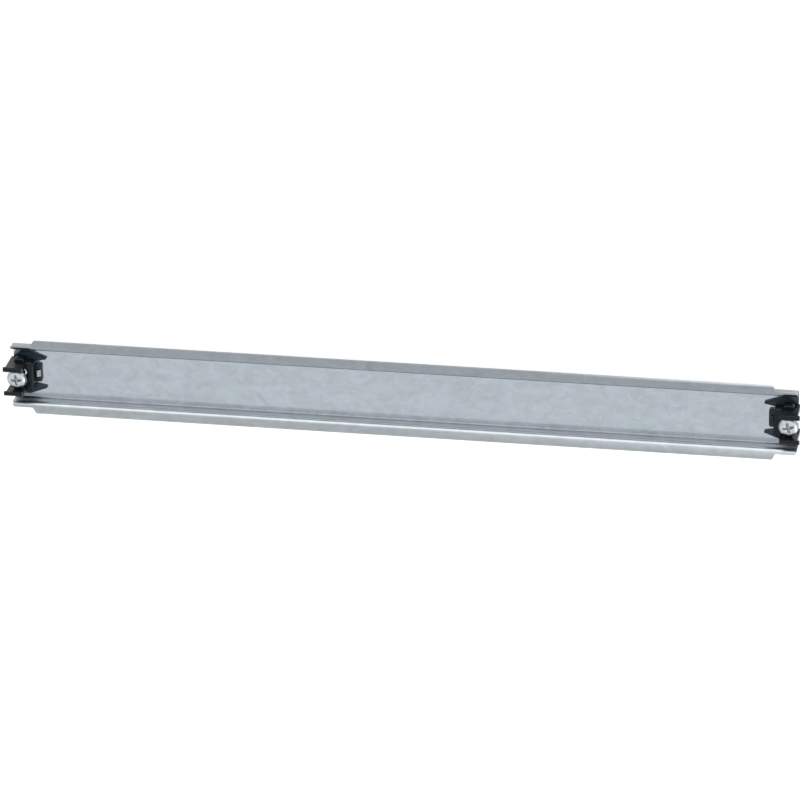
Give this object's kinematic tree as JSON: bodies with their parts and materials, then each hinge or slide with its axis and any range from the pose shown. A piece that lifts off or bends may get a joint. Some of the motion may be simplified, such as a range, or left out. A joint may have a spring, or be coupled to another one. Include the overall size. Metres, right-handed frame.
{
  "type": "din rail",
  "caption": "Galvanised steel top-hat mounting rail with a black moulded screw holder and a captive cross-recess screw at each end.",
  "frame": {"origin": "middle of the web's back face, on the surface that the rail lies on", "axes": "+X along the rail, +Y across it, +Z out of its open side"},
  "size_m": [0.354, 0.035, 0.0141],
  "materials": {
    "rail_steel": "galvanised and passivated, satin",
    "clip_plastic": "black moulded, semi-gloss",
    "screw_zinc": "bright zinc plated"
  },
  "bodies": {
    "root": {"rail": "rail_steel", "end_clip_left": "clip_plastic", "end_clip_right": "clip_plastic", "screw_left": "screw_zinc", "screw_right": "screw_zinc"}
  },
  "joints": []
}
